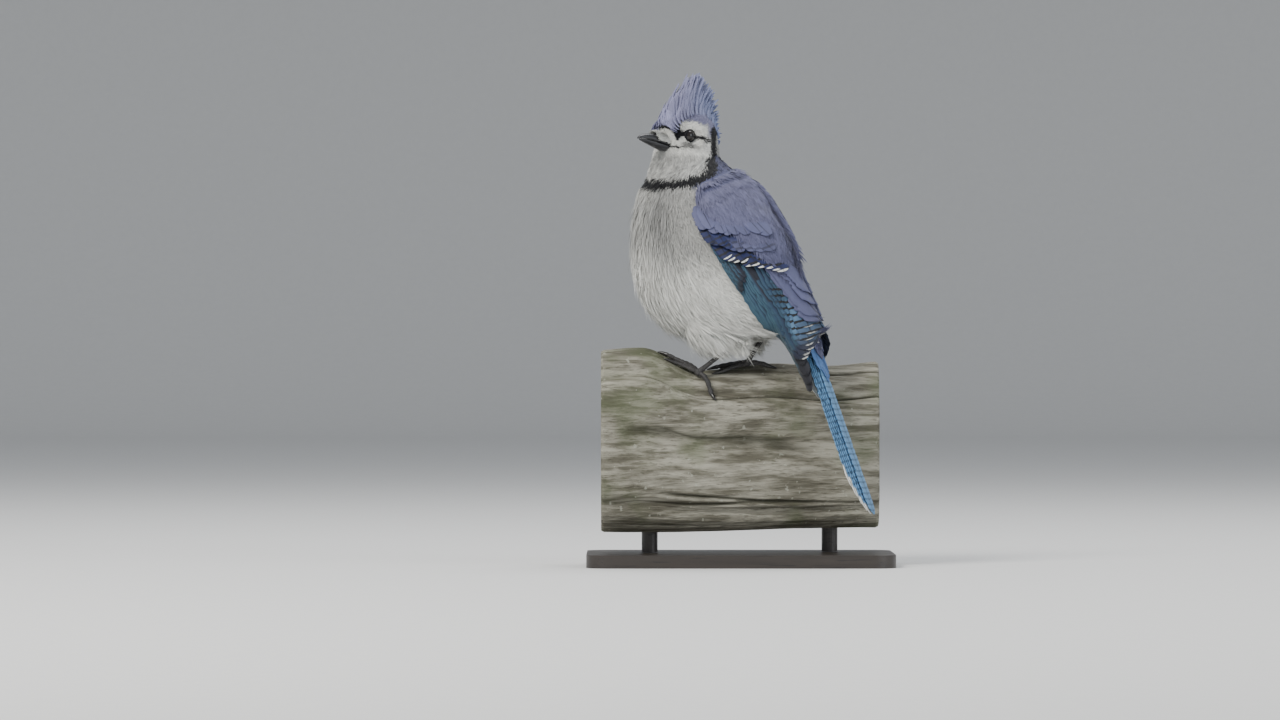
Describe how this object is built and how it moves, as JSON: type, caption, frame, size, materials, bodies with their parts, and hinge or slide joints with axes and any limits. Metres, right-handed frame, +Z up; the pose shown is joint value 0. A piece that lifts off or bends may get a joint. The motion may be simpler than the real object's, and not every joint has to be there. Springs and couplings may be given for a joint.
{
  "type": "blue jay on a perch",
  "caption": "Still, life-size blue jay with raised crest and folded wings, gripping a short cut length of weathered rail on a plain stand.",
  "frame": {"origin": "centre of the stand base's underside", "axes": "+Z up, +X to the bird's rear in the main view, where it faces left; +Y away from the viewer"},
  "size_m": [0.19, 0.122, 0.3042],
  "materials": {
    "face": "soft pale feathers",
    "crest": "soft lavender-blue feathers",
    "breast": "soft off-white feathers",
    "wing": "sleek blue feathers",
    "tail": "sleek bright blue feathers",
    "bill": "black horn, satin",
    "eye": "dark and wet",
    "leg": "scaled grey-black skin",
    "claw": "black horn",
    "wood": "weathered, bare",
    "stand": "plain dark satin"
  },
  "bodies": {
    "root": {"stand_base": "stand", "stand_rod_left": "stand", "stand_rod_right": "stand", "perch_rail": "wood", "head": "face", "neck": "face", "torso": "breast", "eye_left": "eye", "eye_right": "eye", "bill_upper": "bill", "bill_lower": "bill", "crest": "crest", "wing_left": "wing", "wing_right": "wing", "tail": "tail", "thigh_left": "breast", "shank_left": "leg", "foot_left": "leg", "claw_left_1": "claw", "claw_left_2": "claw", "claw_left_3": "claw", "claw_left_4": "claw", "thigh_right": "breast", "shank_right": "leg", "foot_right": "leg", "claw_right_1": "claw", "claw_right_2": "claw", "claw_right_3": "claw", "claw_right_4": "claw"}
  },
  "joints": []
}
